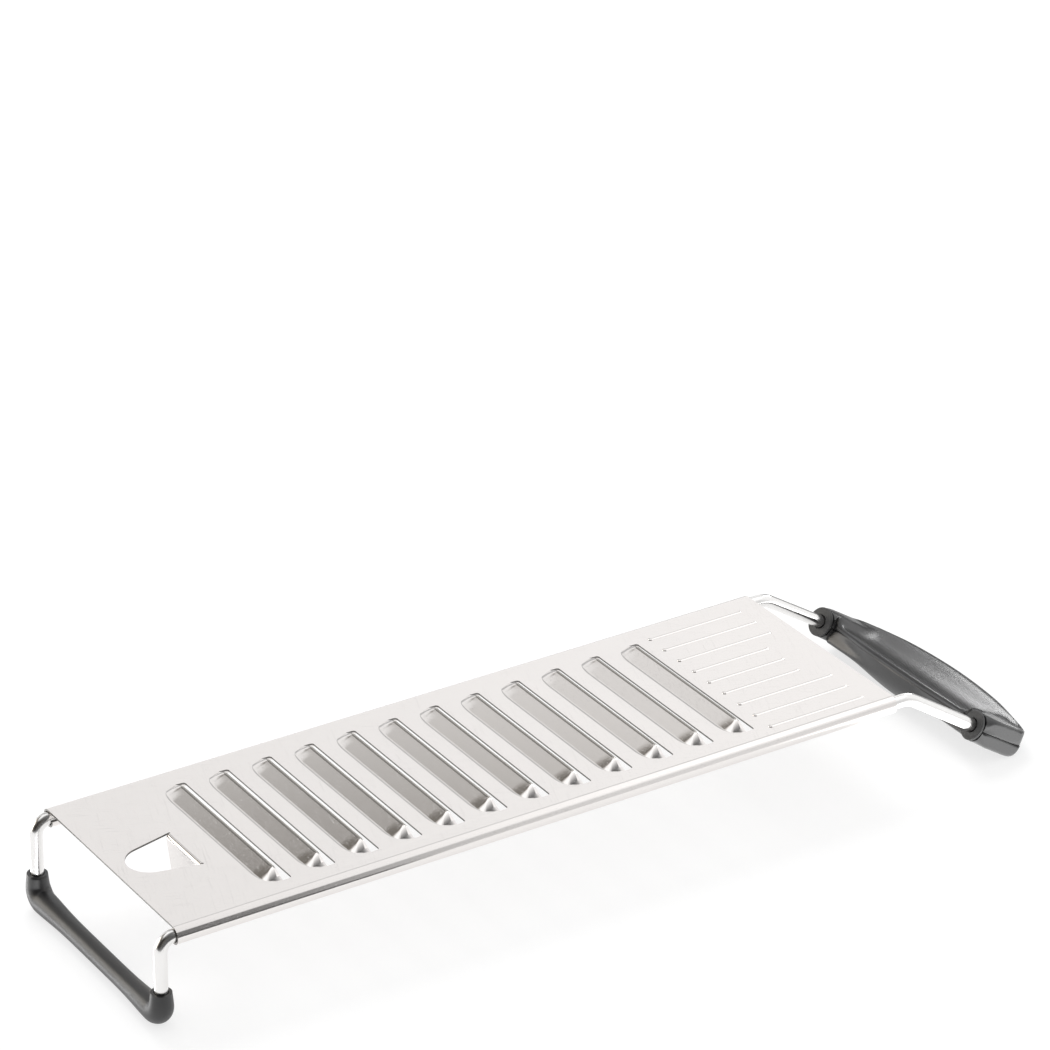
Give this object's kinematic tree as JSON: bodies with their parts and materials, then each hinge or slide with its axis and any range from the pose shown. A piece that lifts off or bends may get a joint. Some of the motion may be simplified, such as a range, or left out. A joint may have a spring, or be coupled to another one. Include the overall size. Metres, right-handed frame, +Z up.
{
  "type": "potato slicer",
  "caption": "Flat hand slicer: a louvred steel plate with its edges curled round a bent wire frame, a sleeved foot and a moulded handle.",
  "frame": {"origin": "centre of the slicer's length and width, on the surface that it stands on", "axes": "+X along the plate from the foot to the handle, +Y across it to the left when seen from the foot, +Z up"},
  "size_m": [0.4182, 0.123, 0.0453],
  "materials": {
    "sheet_steel": "fine satin stainless sheet",
    "wire_steel": "bright polished stainless wire",
    "foot_rubber": "satin black",
    "handle_plastic": "black, fine grain",
    "cover_plastic": "glossy black, fine grain",
    "collar_plastic": "rough dark grey"
  },
  "bodies": {
    "root": {"cutting_plate": "sheet_steel", "wire_frame": "wire_steel", "foot_sleeve": "foot_rubber", "handle_body": "handle_plastic", "handle_cover": "cover_plastic", "handle_collar_near": "collar_plastic", "handle_collar_far": "collar_plastic"}
  },
  "joints": []
}
